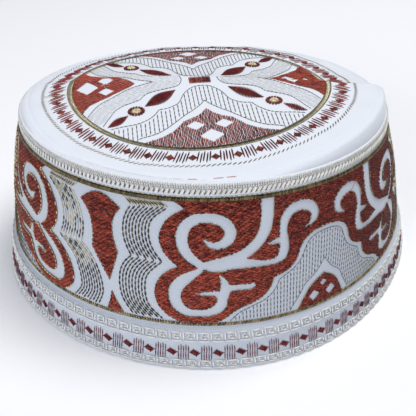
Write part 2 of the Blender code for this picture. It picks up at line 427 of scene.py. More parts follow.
def lay(stitches, place, thread, lift=0.05, tone=None):
    """Closed threads on the cloth: each goes from end to end of its stitch over a low arch.

    A stitch's middle line rises by the sine of the way along it. Round it lies an oval,
    half_width across the cloth and half of rise high, which narrows at both ends.
    """
    stitches = np.asarray(stitches, dtype=float)
    way = np.linspace(0.0, 1.0, thread.stations)
    if stitches.shape[1] == 2:
        chart = stitches[:, :1] * (1 - way)[None, :, None] + stitches[:, 1:] * way[None, :, None]
    else:
        chart = stitches
        way = np.linspace(0.0, 1.0, chart.shape[1])
    count, along = chart.shape[:2]
    full = np.minimum(1.0, THREAD_END + 1.6 * np.sin(np.pi * way))
    height = lift + 0.5 * thread.rise * full
    middle = place(chart[..., 0], chart[..., 1], height[None, :])
    over = place(chart[..., 0], chart[..., 1], height[None, :] + 1.0) - middle
    over /= np.linalg.norm(over, axis=-1, keepdims=True)
    tangent = np.gradient(middle, axis=1)
    beside = np.cross(tangent, over)
    beside /= np.maximum(np.linalg.norm(beside, axis=-1, keepdims=True), 1e-9)
    turn = 2 * np.pi * np.arange(thread.sides) / thread.sides
    wide = (thread.half_width * full)[None, :, None, None]
    tall = (0.5 * thread.rise * full)[None, :, None, None]
    points = (middle[:, :, None] + beside[:, :, None] * wide * np.cos(turn)[None, None, :, None]
              + over[:, :, None] * tall * np.sin(turn)[None, None, :, None])
    sides = thread.sides
    base = np.arange(count)[:, None, None] * along * sides
    k, j = np.meshgrid(np.arange(along - 1), np.arange(sides), indexing="ij")
    near, far = k * sides + j, (k + 1) * sides + j
    near_on, far_on = k * sides + (j + 1) % sides, (k + 1) * sides + (j + 1) % sides
    quads = np.stack([near, far, far_on, near_on], -1).reshape(1, -1, 4) + base
    cap = np.array([[0, 1, 2, 3]]) if sides == 4 else np.array([[0, 1, 2, 5], [2, 3, 4, 5]])
    ends = np.concatenate([cap, cap[:, ::-1] + (along - 1) * sides])[None] + base
    shade = dice.uniform(0.0, 1.0, count) if tone is None else np.full(count, tone)
    return (points.reshape(-1, 3), np.concatenate([quads.reshape(-1, 4), ends.reshape(-1, 4)]),
            np.repeat(shade, along * sides))


def sew(name, parts, coat, nodes=()):
    """One object from several lots of laid threads."""
    count = 0
    faces = []
    for points, quads, _ in parts:
        faces.append(quads + count)
        count += len(points)
    return put(name, np.concatenate([part[0] for part in parts]), faces, coat, nodes,
               tone=np.concatenate([part[2] for part in parts]))


# Materials

WEAVE_PITCH = 0.8  # millimetres from thread to thread of the weave as it is drawn
SWELLS = 0.09  # swells of the pressed cloth to the millimetre


def linear(hex_colour):
    """Linear RGBA of an sRGB hex colour."""
    parts = [int(hex_colour[i:i + 2], 16) / 255 for i in (0, 2, 4)]
    return [p / 12.92 if p <= 0.04045 else ((p + 0.055) / 1.055) ** 2.4 for p in parts] + [1.0]


def node(tree, kind, links=(), **settings):
    """Adds a node with its settings; links are (input, output socket) pairs."""
    made = tree.nodes.new(kind)
    for name, value in settings.items():
        setattr(made, name, value)
    for where, source in links:
        if isinstance(source, bpy.types.NodeSocket):
            tree.links.new(source, made.inputs[where])
        else:
            made.inputs[where].default_value = source
    return made


def new_material(name, **sockets):
    """Empty Principled material with its constants set on the shader's own sockets."""
    made = bpy.data.materials.new(name)
    made.use_nodes = True
    shader = made.node_tree.nodes["Principled BSDF"]
    for socket, value in sockets.items():
        shader.inputs[socket.replace("_", " ")].default_value = value
    return made, made.node_tree, shader


def dress(tree, shader, share, colours, height, distance, strength):
    """Blends two sRGB colours by a share, and bumps the surface by a height and a distance."""
    blend = node(tree, "ShaderNodeMix", [(0, share), (6, linear(colours[0])), (7, linear(colours[1]))],
                 data_type="RGBA")
    bump = node(tree, "ShaderNodeBump", [("Height", height), ("Distance", distance),
                                         ("Strength", strength)])
    tree.links.new(blend.outputs[2], shader.inputs["Base Color"])
    tree.links.new(bump.outputs["Normal"], shader.inputs["Normal"])


def poplin(name, warp, weft):
    """Stiffened cotton poplin: a fine plain weave, pressed smooth, with a faint sheen.

    The threads lie 0.35 mm apart on the real cloth. They are drawn at 0.8 mm so that the
    weave shows at all: two crossed waves on the cloth's own UV map, in millimetres, each of
    them pi / 10 / scale long. Under them lie soft swells about 11 mm across.
    """
    made, tree, shader = new_material(name, Roughness=0.78, Sheen_Weight=0.25, Sheen_Roughness=0.5,
                                      Specular_IOR_Level=0.35)
    place = node(tree, "ShaderNodeUVMap", uv_map="cloth").outputs["UV"]
    threads = []
    for direction in ("X", "Y"):
        wave = node(tree, "ShaderNodeTexWave",
                    [("Vector", place), ("Scale", round(math.pi / 10 / WEAVE_PITCH, 3)),
                     ("Distortion", 0.4), ("Detail", 1.0)],
                    wave_type="BANDS", bands_direction=direction)
        threads.append(wave.outputs["Fac"])
    weave = node(tree, "ShaderNodeMath", [(0, threads[0]), (1, threads[1])], operation="MULTIPLY")
    soft = node(tree, "ShaderNodeTexNoise", [("Vector", place), ("Scale", SWELLS), ("Detail", 3.0)])
    both = node(tree, "ShaderNodeMath", [(0, soft.outputs["Fac"]), (1, 6.0), (2, weave.outputs[0])],
                operation="MULTIPLY_ADD")
    dress(tree, shader, weave.outputs[0], (warp, weft), both.outputs[0], 0.05 * MM, 0.6)
    return made


def thread_material(name, dark, light, roughness, metallic=0.0, sheen=0.0, bite=0.5, specular=0.5,
                    twists=2.2):
    """Embroidery thread: every stitch has its own tone, and its plies twist across it.

    The tone is the stitch's own value plus bite * (ply noise - 0.5), from dark at 0 to light at 1.
    The noise has so many twists to the millimetre.
    """
    made, tree, shader = new_material(name, Roughness=roughness, Metallic=metallic, Sheen_Weight=sheen,
                                      Sheen_Roughness=0.4, Specular_IOR_Level=specular)
    tone = node(tree, "ShaderNodeAttribute", attribute_name="tone", attribute_type="GEOMETRY")
    place = node(tree, "ShaderNodeTexCoord").outputs["Object"]
    ply = node(tree, "ShaderNodeTexNoise", [("Vector", place), ("Scale", twists / MM), ("Detail", 2.0)])
    mixed = node(tree, "ShaderNodeMath", [(0, ply.outputs["Fac"]), (1, bite), (2, tone.outputs["Fac"])],
                 operation="MULTIPLY_ADD")
    centred = node(tree, "ShaderNodeMath", [(0, mixed.outputs[0]), (1, 0.5 * bite)],
                   operation="SUBTRACT", use_clamp=True)
    dress(tree, shader, centred.outputs[0], (dark, light), ply.outputs["Fac"], 0.08 * MM, 0.5)
    return made


COTTON = poplin("stiffened_cotton_poplin", "E8ECF3", "F1F4F8")
# Painted shade: the wall's and hem band's cloth is given a greyer colour than the crown's, for the shade it
# lies in
SHADED_POPLIN = poplin("poplin_with_painted_shade", "D0D6DF", "DADFE7")

# Rayon shines softly; the pinkish light end of its brown is a painted sheen, for the stitches given a high
# tone
BROWN = thread_material("brown_rayon_thread", "4A0A08", "C05742", 0.45, specular=0.3, bite=2.0, twists=1.5)
STROKE_BROWN = thread_material("wine_brown_rayon_thread", "440A12", "A8443A", 0.45, specular=0.3)
DARK_BROWN = thread_material("dark_brown_rayon_thread", "520E0E", "8C2C28", 0.4, specular=0.4, bite=1.0,
                             twists=1.2)
MAROON = thread_material("maroon_rayon_thread", "5E2C30", "92585C", 0.5)
CREAM = thread_material("cream_rayon_thread", "E4E1D6", "FCFAF2", 0.42, sheen=0.1)
WHITE = thread_material("white_rayon_thread", "F4F3EC", "FFFEFA", 0.35, specular=0.9, sheen=0.3)
BEIGE = thread_material("beige_rayon_thread", "EEEBE5", "FBFAF7", 0.5, specular=0.3)

# Gold thread is foil wound on a core: dark olive, with bright glints across its run
GOLD = thread_material("dark_gold_metallic_thread", "40361F", "8E7E58", 0.3, metallic=0.75, bite=1.0,
                       twists=1.6)
RING_GOLD = thread_material("old_gold_metallic_thread", "5E5638", "D2C8A6", 0.3, metallic=0.8)
FOOT_GOLD = thread_material("bright_gold_metallic_thread", "5A4A2A", "C8B27C", 0.32, metallic=0.7, bite=1.0,
                            twists=1.6)
# Fine foil looks nearly black, and broad foil on the side towards the light looks pale yellow: the pale
# gold paints that glint into the thread's colour
FINE_GOLD = thread_material("fine_gold_metallic_thread", "2A2516", "706646", 0.32, metallic=0.5)
EDGE_GOLD = thread_material("edge_gold_metallic_thread", "2E2618", "BCA87A", 0.3, metallic=0.55)
PALE_GOLD = thread_material("pale_gold_metallic_thread", "BEB083", "F6EBC4", 0.4, metallic=0.2)

# Sewing cotton is matt. The grey stitches between the whips and above the beads are painted shade, and red
# is a marking thread that is left
SHADE_GREY = thread_material("grey_thread_for_painted_shade", "8E8E92", "D4D4DA", 0.7)
RED = thread_material("red_sewing_thread", "B84850", "D8787E", 0.6)

# Cloth

HALF_GIRTH = 280.0  # millimetres of weave on each side of the cap
BAND_JOIN = 14.6  # the hem band begins to close in on the wall at this height


def revolve(name, section, nodes, coat, cols=360):
    """A closed section of (radius, height) carried round the cap and settled."""
    turn = 2 * np.pi * np.arange(cols) / cols
    points = round_point(turn[None, :], section[:, :1], section[:, 1:])
    across = np.abs((np.arange(cols) / cols * 2) % 2 - 1) * HALF_GIRTH
    uv = np.stack(np.broadcast_arrays(across[None, :], reach_along(section)[:, None]), -1)
    flat = points.reshape(-1, 3)
    faces = outward(flat, grid_faces(len(section), cols, wrap_rows=True))
    return put(name, flat, [faces], coat, nodes, uv=uv.reshape(-1, 2))


def wall_cloth():
    """Wall: a closed section, up outside, over the top and back down inside."""
    up = np.linspace(WALL_FOOT, WALL_TOP, 60)
    down = np.linspace(WALL_TOP, WALL_FOOT, 24)
    section = np.concatenate([np.stack([wall_radius(up), up], -1),
                              np.stack([wall_radius(down) - CLOTH, down], -1)])
    return revolve("wall_cloth", section, ("side_wall",), SHADED_POPLIN)


def hem_cloth():
    """Hem band: a doubled strip that is rounded at its lower edge and eased on to the wall above.

    The lower edge draws in by half a millimetre * exp(-height / 0.3).
    """
    up = np.array([0, 0.15, 0.5, 1.5, 3, 5, 7, 9, 11, 13, 14.6, 15.4, 16, 16.4, 16.8, 17.2])
    radius = np.interp(up, BAND_ROWS[:, 0], BAND_ROWS[:, 1])
    radius = radius - 0.5 * np.exp(-up / 0.3)
    join = ramp(up, BAND_JOIN, BAND_JOIN + 2.4)
    radius = radius + join ** 2 * (3 - 2 * join) * (wall_radius(up) + 0.15 - radius)
    down = np.array([17.2, 16.5, 12, 8, 4, 1.5, 0])
    section = np.concatenate([np.stack([radius, up], -1), np.stack([wall_radius(down) + 0.1, down], -1)])
    return revolve("hem_cloth", section, ("hem_band",), SHADED_POPLIN)


def seam_roll():
    """Rolled seam under the crown's edge, with the cloth below it that the rope lies on.

    The roll is an arc from 20 degrees below its widest line to 110 above. The last points of
    the section close it inside the wall.
    """
    low = np.interp(SEAM_START, SLOPE_S, SLOPE_Z)
    slope = np.stack([(wall_radius(low) + 0.05, low), ROPE_FOOT - (0.05, 0.0), ROPE_HEAD - (0.1, 0.0)])
    turn = np.radians(np.linspace(-20.0, 110.0, 12))
    roll = np.stack([SEAM_RADIUS + SEAM_HALF * np.cos(turn), SEAM_HEIGHT + SEAM_HALF * np.sin(turn)], -1)
    hidden = np.array([(79.2, 72.3), (wall_radius(71.0) - 0.5, 71.0), (wall_radius(low) - 0.5, low)])
    return revolve("seam_roll", np.concatenate([slope, roll, hidden]), (), COTTON)


def crown_cloth():
    """Crown: a flattened ball whose rows run along the fold, so that the fold stays crisp.

    Row and column angles give x = R cos(row) sin(column) and depth = R sin(row); the
    front half of the columns is the upper face and the other half is the lower face. The rows
    then slant as the ridge does, and each point keeps its distance from the middle.
    """
    even = EDGE_RADIUS * np.sin(np.linspace(-np.pi / 2, np.pi / 2, 190))
    at_fold = RIDGE_BEHIND + np.array([-3, -1.6, -0.8, -0.35, 0, 0.35, 0.8, 1.5, 2.4, 3.6, 5, 7])
    depth = np.unique(np.round(np.concatenate([even, at_fold]), 3))[1:-1]
    column = np.linspace(-np.pi / 2, 3 * np.pi / 2, 260, endpoint=False)
    along = EDGE_RADIUS * np.cos(np.arcsin(depth / EDGE_RADIUS))[:, None] * np.sin(column)[None, :]
    back = np.broadcast_to(depth[:, None], along.shape)
    y = back + RIDGE_SLANT * along
    fit = np.hypot(along, back) / np.maximum(np.hypot(along, y), 1e-6)
    x, y = along * fit, y * fit
    top = (np.cos(column) >= -1e-9)[None, :] & np.ones(along.shape, dtype=bool)
    rows, cols = along.shape
    poles = np.array([(0.0, -EDGE_RADIUS), (0.0, EDGE_RADIUS)])
    points = np.concatenate([settle(x, y, crown_height(x, y, top)).reshape(-1, 3),
                             settle(*poles.T, EDGE_HEIGHT)])
    quads = grid_faces(rows, cols, wrap_rows=False)
    here, beside, last_row = np.arange(cols), (np.arange(cols) + 1) % cols, (rows - 1) * cols
    first = np.stack([np.full(cols, rows * cols), beside, here], -1)
    last = np.stack([np.full(cols, rows * cols + 1), last_row + here, last_row + beside], -1)
    if outward(points, quads) is not quads:
        quads, first, last = quads[:, ::-1], first[:, ::-1], last[:, ::-1]
    uv = np.concatenate([np.stack([x, y], -1).reshape(-1, 2), poles])
    return put("crown_cloth", points, [quads, first, last], COTTON, ("crown_panel",), uv=uv)


wall_cloth()
hem_cloth()
seam_roll()
crown_cloth()

# Wall embroidery: its charts

FOOT, HEAD = 18.9, 67.3  # the wall's embroidery lies between the two gold lines
HALF = 60.0  # degrees from a vase's middle to an arch's middle
PERIOD = 2 * HALF * DEGREE
TIMES = 3  # the pattern goes round the wall this many times


def chart(points):
    """Chart points from degrees to millimetres across; a third value, a half width, is kept."""
    return np.asarray(points, dtype=float) * ([DEGREE, 1.0, 1.0][:len(points[0])])


# Right half of a vase and of the small spike below it, from top to bottom
VASE = [[(0, 66), (2.3, 65.2), (5.8, 61.7)],
        [(5.8, 61.7), (4.2, 58.8), (3.2, 55.5), (2.9, 51.5), (3.1, 48), (3.7, 43.9)],
        [(3.7, 43.9), (2.1, 38.4), (0.9, 34.6), (0, 31.6)], [(0, 31.6), (0, 66)]]
SPIKE = [[(0, 27), (0.8, 23.5), (2.4, 18.9)], [(2.4, 18.9), (0, 18.9)], [(0, 18.9), (0, 27)]]

# Brown ground of the scrolls, from the top line round its left side, foot and arch
GROUND = [[(19.4, 67.4), (22.3, 64.6)],
          [(22.3, 64.6), (20, 62.7), (17.8, 60.3), (16, 56.5), (15.2, 52.3), (15.8, 47.9),
           (17.3, 44.6), (19.3, 41.7)],
          [(19.3, 41.7), (16.6, 40), (14, 36.5), (12.5, 32.2), (12.2, 28.4), (12.9, 24.6),
           (14.9, 21.2), (18, 18.9)],
          [(18, 18.9), (27, 18.9)],
          [(27, 18.9), (29.5, 20.4), (31.8, 22.8), (34.5, 24.8), (38.2, 26.6), (41, 29.2),
           (42.7, 32.3), (43.4, 35.6)],
          [(43.4, 35.6), (46.2, 36.6), (48.8, 38.6), (50.4, 41.4), (51.3, 45), (53, 48.2), (56, 50.4),
           (60.2, 51)],
          [(60.2, 51), (60.2, 67.4)], [(60.2, 67.4), (19.4, 67.4)]]

# Bare ribbons that the brown leaves open: middle line in degrees and millimetres, half width
UPPER_SCROLL = [(25, 42.6, 1.6), (22.3, 45.9, 2.1), (20.9, 50, 2.3), (20.9, 54.6, 2.3),
                (22.3, 58.5, 2.1), (25.1, 60.9, 2), (28.5, 61, 2), (31.4, 59.2, 2.2),
                (32.7, 55.8, 2.3), (32, 52.6, 2.1), (29.9, 50.7, 1.7), (27.6, 50.8, 1.3),
                (26.2, 52.7, 0.4)]
POLE = [(42.7, 68.4, 2.7), (42.5, 63.5, 2.65), (42.1, 58.9, 2.6), (41.3, 54.8, 2.4), (39.8, 51.3, 2.2),
        (37.4, 48.1, 2.1), (34, 45.3, 2.2), (29.5, 43.3, 2.3), (25, 42.3, 1.5)]
VINE = [(25, 41.6, 0.9), (28.5, 42.2, 2.4), (33, 43.1, 2.3), (37.5, 42.5, 1.7), (41.2, 41.85, 1.15),
        (44, 42.1, 1.3), (45.8, 43.5, 2), (46.5, 46.3, 2.2), (46.6, 49.3, 1.9), (46.4, 52.3, 1.7),
        (46.5, 55, 1.75), (47.1, 58.2, 1.95), (48.9, 60.9, 2), (51.5, 61.75, 2.1), (54.1, 61, 2.1),
        (55.8, 58.7, 2), (55.9, 56.2, 1.8), (54.9, 54.2, 1), (53.2, 52.9, 0.35)]
TWIG = [(46.6, 49.9, 1.5), (45, 49.9, 1.2), (43.5, 49.7, 0.85), (42.1, 49.3, 0.3)]
LOWER_SCROLL = [(25, 41.2, 0.9), (22.4, 38.8, 1.7), (19.9, 36.3, 2.3), (17.9, 32.9, 2.5),
                (17.3, 29.2, 2.5), (17.9, 25.7, 2.4), (19.9, 23.3, 1.9), (23, 22.8, 1.55),
                (26.2, 23.4, 1.7), (28.5, 25.4, 2.1), (29.3, 28.2, 2.1), (28.5, 30.7, 1.4),
                (26.6, 31.1, 1.05), (24.6, 31, 0.75), (22.8, 30.8, 0.3)]
SPUR = [(29.3, 28.4, 2.1), (30.2, 32.4, 2), (30.2, 35.6, 1.5), (29.2, 38.4, 0.35)]
TONGUE = [(30.4, 33, 1.6), (33.5, 33.1, 1.35), (36.2, 33, 1.35), (37.7, 33.3, 0.9)]
RIBBONS = [chart(r) for r in (UPPER_SCROLL, POLE, VINE, TWIG, LOWER_SCROLL, SPUR, TONGUE)]

# Arch: its outer line, the small arch inside it, and the brown field with bare diamonds
ARCH = [(60, 49), (57.5, 48.8), (55.2, 47.8), (53.6, 45.8), (52.7, 43), (51.6, 40), (49.8, 37.5),
        (47.5, 35.6), (45.2, 34), (44.4, 31.5), (43, 28.8), (40.5, 26.3), (37, 24.5), (33.5, 22.3),
        (31, 19.2)]
SMALL_ARCH = [(60, 37.5), (58.2, 34.2), (56.2, 31.6), (53.4, 29), (51.9, 25.6), (50.2, 22.4),
              (48.5, 19.3)]
FIELD = [[(60.2, 31), (57, 28.8), (54.8, 26.4), (53, 22.8), (51.2, 18.9)], [(51.2, 18.9), (60.2, 18.9)],
         [(60.2, 18.9), (60.2, 31)]]
FIELD_DIAMONDS = [(56.8, 22.6, 3.2, 2.3), (60, 26.9, 2, 1.6)]

# The three wavy lanes beside a vase, the head's first: points of a lane's first and last line
LANES = [[((8.9, 63.9), (18.2, 64.7)), ((7.9, 65.3), (17, 65.9)), ((7, 66.8), (16, 66.9))],
         [((7.4, 43.9), (15.2, 43.1)), ((6.4, 47.5), (13.4, 47.3)), ((5.9, 51.7), (12.7, 51.5)),
          ((6.2, 56), (12.8, 55.7)), ((7.2, 60.3), (14, 59.8)), ((8.9, 63.9), (18.2, 64.7))],
         [((7.4, 43.9), (15.2, 43.1)), ((5.3, 41), (12.2, 39.3)), ((3.7, 37), (10.5, 36)),
          ((2.9, 32.5), (9.8, 32)), ((2.7, 28.5), (9.6, 28)), ((3.1, 24.5), (10.2, 24)),
          ((5.2, 19.3), (13.2, 19.3))]]
LANE_NOTCH = 44.5  # millimetres up to the notch between the upper and the lower lane
PALE_FROM = (47.0, 34.0)  # heights at which pale stitches begin in the upper and the lower lane


# Wall embroidery: its stitches

def chart_outline(stretches):
    """Outline of a chart shape in millimetres."""
    return outline(*[chart(stretch) for stretch in stretches])


def mirrored(stitches, axis=0.0):
    """The stitches and their mirror image about a line up the chart."""
    image = stitches.copy()
    image[..., 0] = 2 * axis - image[..., 0]
    return np.concatenate([stitches, image])


def repeated(stitches):
    """The stitches as often as the pattern repeats, each time one period further across."""
    steps = np.repeat(np.arange(TIMES) * PERIOD, len(stitches))
    again = np.tile(stitches, (TIMES,) + (1,) * (stitches.ndim - 1)).copy()
    again[..., 0] += steps.reshape((-1,) + (1,) * (stitches.ndim - 2))
    return again


def from_vase(x):
    """Way across from the nearest vase's middle."""
    return (x + 0.5 * PERIOD) % PERIOD - 0.5 * PERIOD


def diamond(x, y, cx, cy, wide, tall):
    """True inside a diamond of those half diagonals."""
    return np.abs(x - cx) / wide + np.abs(y - cy) / tall < 1.0


def brown_ground(x, y):
    """All brown of the wall: scrolls without their ribbons, field without its diamonds, vase."""
    x = np.abs(from_vase(x))
    brown = inside(chart_outline(GROUND), x, y)
    for ribbon in RIBBONS:
        brown &= ~in_ribbon(ribbon, x, y)
    field = inside(chart_outline(FIELD), x, y)
    for cx, cy, wide, tall in FIELD_DIAMONDS:
        field &= ~diamond(x, y, cx * DEGREE, cy, wide, tall)
    return brown | field | inside(chart_outline(VASE), x, y) | inside(chart_outline(SPIKE), x, y)


def square_to(run):
    """Unit steps to the left of each step of a path."""
    return np.stack([-run[:, 1], run[:, 0]], -1) / np.hypot(*run.T)[:, None]


def edge_stitches(path, reach=0.5):
    """Running stitches along a path, kept where one side of them is brown and the other bare."""
    found = dashes(path, length=1.45, gap=0.35)
    middle = found.mean(axis=1)
    beside = reach * square_to(found[:, 1] - found[:, 0])
    return found[brown_ground(*(middle + beside).T) != brown_ground(*(middle - beside).T)]


def fill_wall():
    """Level rows of brown stitches: thick ones, with painted shade: darker high up, at the far left and on
    the right.

    The rows begin in a bare lane beside a vase, so that none is cut where the pattern repeats.
    """
    clear = -11.9 * DEGREE
    rows = runs(brown_ground, FOOT + 0.3, HEAD, pitch=0.62, left=clear, right=clear + PERIOD)
    brown = repeated(tatami(rows, length=2.6, wander=0.1))
    # Painted light: the stitches' tone is lighter towards the foot of the wall
    low = 0.3 * (HEAD - brown[:, 0, 1]) / (HEAD - FOOT)
    # Painted shade: darker on the right of the cap, and a little at the far left
    aside = np.sin(np.radians(brown[:, 0, 0] / DEGREE + AXIS))
    painted_side_shade = 1.0 - 0.9 * np.maximum(0.0, aside) - 0.3 * np.maximum(0.0, -aside) ** 3
    shade = painted_side_shade * (low + dice.uniform(0.0, 0.78, len(brown)))
    sew("wall_brown_stitches", [lay(brown, on_wall, Thread(0.5, 0.62), tone=shade)], BROWN)


def edge_wall():
    """Gold outlines where brown meets bare cloth, with a painted glint: pale gold on the wall's left."""
    paths = [smooth(chart(s)) for s in GROUND[:3] + GROUND[4:6] + VASE[:3] + SPIKE[:1] + FIELD[:1]]
    for ribbon in RIBBONS:
        curve = smooth(ribbon, 8)
        beside = square_to(np.gradient(curve[:, :2], axis=0)) * curve[:, 2:]
        paths += [curve[:, :2] + beside, curve[:, :2] - beside]
    edges = repeated(mirrored(np.concatenate([edge_stitches(path) for path in paths])))
    behind = (-(edges[:, 0, 0] / DEGREE + AXIS) + 180.0) % 360.0 - 180.0
    # Painted glint: on the wall's left a growing share of the outlines is laid in pale gold
    pale = dice.uniform(0.0, 1.0, len(edges)) < np.minimum(0.85, ramp(behind, 34.0, 48.0))
    sew("wall_outline_stitches", [lay(edges[~pale], on_wall, Thread(0.2, 0.45), lift=0.25)],
        EDGE_GOLD)
    sew("wall_outline_glint_stitches", [lay(edges[pale], on_wall, Thread(0.4, 0.5), lift=0.35)],
        PALE_GOLD)


def fill_lanes():
    """Running lines of the lanes: nine dark ones, and at the head 25 fine ones, pale and dark.

    Left of each vase the upper part of both lanes has pale stitches among the dark ones: a painted glint.
    """
    lots = []
    for lane in LANES:
        first, last = (smooth(chart([pair[end] for pair in lane])) for end in (0, 1))
        steps = 24 if lane is LANES[0] else 8
        lines = [first + (last - first) * number / steps for number in range(steps + 1)]
        lots.append([dashes(line, length=2.1, gap=0.22, shift=0.1 + 0.9 * (number % 2))
                     for number, line in enumerate(lines)])
    head, upper, lower = lots
    pale_head, dark_head, shafts = (repeated(mirrored(np.concatenate(lot)))
                                    for lot in (head[::2], head[1::2], upper + lower))
    up = shafts[:, 0, 1]
    start = np.where(up > LANE_NOTCH, *PALE_FROM)
    # Painted glint: a share of the upper stitches left of each vase goes to the pale gold
    share = 0.78 * ramp(up, start, start + 5.0) * (from_vase(shafts[:, 0, 0]) < 0)
    pale = dice.uniform(0.0, 1.0, len(shafts)) < share
    sew("wall_running_stitches", [lay(shafts[~pale], on_wall, Thread(0.35, 0.5)),
                                  lay(dark_head, on_wall, Thread(0.2, 0.3), lift=0.25)],
        FINE_GOLD)
    sew("wall_pale_stitches", [lay(shafts[pale], on_wall, Thread(0.27, 0.5)),
                               lay(pale_head, on_wall, Thread(0.22, 0.42))], PALE_GOLD)


def fill_arches():
    """Arch lines, and the upright stripes between the arch and the small arch inside it."""
    arch, small_arch = smooth(chart(ARCH))[::-1], smooth(chart(SMALL_ARCH))[::-1]
    lots = [dashes(line[::-1], length=1.7, gap=0.15) for line in (arch, small_arch)]
    for across in np.arange(29.5, 60.0, 1.0) * DEGREE:
        high = np.interp(across, *arch.T) - 0.5
        low = FOOT + 0.2 if across < small_arch[0, 0] else np.interp(across, *small_arch.T) + 0.5
        if high - low > 1.5:
            stripe = np.array([(across, low), (across, high)])
            lots.append(dashes(stripe, length=1.7, gap=0.3, shift=dice.uniform(0, 0.4)))
    arches = repeated(mirrored(np.concatenate(lots), HALF * DEGREE))
    sew("wall_arch_stitches", [lay(arches, on_wall, Thread(0.17, 0.28))], FINE_GOLD)


fill_wall()
edge_wall()
fill_lanes()
fill_arches()

# Lines round the cap

RING_STITCHES = 620
ROPE_TURNS = 270
ROPE_AHEAD = 20.0  # degrees by which the beads' greatest lean lies before the right side


def evenly(count, first=0.0):
    """Angles in equal steps round the cap, in degrees."""
    return first + np.arange(count) * 360.0 / count


def satin(place, middle, half, count, slant, thread, tone=None):
    """Satin line round the cap: equal stitches across it, each leaning by the slant."""
    turn = evenly(count)
    stitches = straight(turn - 0.5 * slant, middle - half, turn + 0.5 * slant, middle + half)
    return [lay(stitches, place, thread, tone=tone)]


def gold_lines():
    """The three satin lines. The crown ring's foil has a painted glint: its tone is palest at the left and
    right.
    """
    top = satin(wall_turn, middle=67.9, half=0.95, count=980, slant=0.3, thread=Thread(0.34, 0.62, 6, 4))
    sew("top_gold_satin", top, GOLD, ("top_gold_line",))
    foot = satin(wall_turn, middle=18.15, half=0.72, count=560, slant=0.7, thread=Thread(0.42, 0.6, 4, 4))
    sew("foot_gold_satin", foot, FOOT_GOLD, ("foot_gold_line",))
    # Painted glint: the crown ring's stitches are paler towards the left and right
    painted_glint = 0.1 + 0.8 * np.cos(np.radians(evenly(RING_STITCHES))) ** 2
    round_crown = satin(crown_turn, middle=57.4, half=1.3, count=RING_STITCHES, slant=0.3,
                        thread=Thread(0.34, 0.2, 6, 4),
                        tone=painted_glint + dice.uniform(-0.1, 0.1, RING_STITCHES))
    sew("crown_gold_satin", round_crown, RING_GOLD, ("crown_gold_ring",))


def rope():
    """Rope: fat slanted beads, twice as many small stitches above them, and an edge line below.

    The beads lean most near the right and the other way near the left: 0.6 + 1.2 * sine of
    the angle. A dark stitch lies in each gap under their tails, partly dark thread and partly a
    painted shadow, and a grey one beside each small one. Whip stitches hold the seam roll above
    the rope, with two grey ones between them; the grey stitches are painted shade.
    """
    turns, halves = evenly(ROPE_TURNS), evenly(2 * ROPE_TURNS)
    lean = 0.6 + 1.2 * np.sin(np.radians(turns + ROPE_AHEAD))
    beads = lay(slanted(turns, 0.0, 0.0, 0.8 * lean, 0.66), on_rope, Thread(0.66, 0.75, 6, 5))
    small = lay(slanted(halves, 0.1, 0.66, 0.5, 1.02), on_rope, Thread(0.36, 0.4, 4, 4))
    edge = lay(slanted(turns, 0.0, SEAM_START, 1.2, SEAM_START + 0.05), wall_turn, Thread(0.22, 0.4))
    sew("rope_stitches", [beads, small, edge], CREAM, ("rope_line",))
    # Painted shadow: the dark stitches under the beads' tails are partly dark thread, partly the shade in
    # the gaps
    under = lay(slanted(turns, 0.6, -0.06, 0.65 + 0.4 * lean, 0.36), on_rope, Thread(0.19, 0.5), lift=0.2)
    sew("rope_dark_and_shadow_stitches", [under], FINE_GOLD)
    # Painted shade: grey stitches above the beads and between the whips
    shade_specks = lay(slanted(halves, 0.42, 0.66, 0.62, 0.82), on_rope, Thread(0.13, 0.3), lift=0.15)
    sew("rope_shade_speck_stitches", [shade_specks], SHADE_GREY)
    whips = lay(slanted(halves, 0.0, -35.0, 0.5, 50.0), on_seam, Thread(0.24, 0.4, 4, 4))
    sew("seam_stitches", [whips], CREAM)
    shade_specks = [lay(slanted(halves, 0.33, low, 0.45, low + 22.0), on_seam, Thread(0.16, 0.45))
              for low in (-30.0, 12.0)]
    sew("seam_painted_shade_stitches", shade_specks, SHADE_GREY)


gold_lines()
rope()

# Hem band

CELLS = 68
FIRST_DIAMOND = 1.2  # degrees from the front to the first diamond
KEYS = 113
KEY_ROWS = [(1.0, 3.7), (11.8, 15.2)]
# Greek key: the legs of one key on a unit square
KEY = [(0, 0), (0, 1), (0.76, 1), (0.76, 0.3), (0.3, 0.3), (0.3, 0.68), (0.52, 0.68)]


def diamonds(turns, wide, tall, middle, shear):
    """Seven stitches for each diamond: their reach falls evenly from its middle to its points."""
    lots = []
    for step in np.linspace(-0.85, 0.85, 7):
        half = wide * (1 - abs(step))
        lots.append(slanted(turns - shear * step, -half, middle + tall * step, half, middle + tall * step))
    return np.concatenate(lots)


def hem_pattern():
    """Band of diamonds, and between them five ragged strokes of an upper and a lower stitch."""
    cells = evenly(CELLS, FIRST_DIAMOND)
    lots = []
    for stroke in range(5):
        at = cells + 180.0 / CELLS + (stroke - 2) * 0.56
        ragged = 0.5 * (stroke % 2)
        lots.append(slanted(at, 0.08, 7.0, 0.12, 9.6 + ragged))
        lots.append(slanted(at, -0.08, 3.9 - ragged, 0.0, 7.2))
    sew("hem_stroke_stitches", [lay(np.concatenate(lots), on_band, Thread(0.22, 0.36))], MAROON)
    stitches = diamonds(cells, wide=1.35, tall=1.5, middle=6.9, shear=0.35)
    sew("hem_diamond_stitches", [lay(stitches, on_band, Thread(0.3, 0.5))], DARK_BROWN)


def hem_keys():
    """Two rows of Greek keys, each key with a foot line that reaches the next one."""
    wide = 360.0 / KEYS
    lots = []
    for low, high in KEY_ROWS:
        tall = high - low
        for (ax, ay), (bx, by) in list(zip(KEY, KEY[1:])) + [((0.0, 0.0), (1.0, 0.0))]:
            lots.append(slanted(evenly(KEYS), ax * wide, low + tall * ay, bx * wide, low + tall * by))
    sew("hem_key_stitches", [lay(np.concatenate(lots), on_band, Thread(0.36, 0.95))], WHITE)


hem_pattern()
hem_keys()

# Crown embroidery

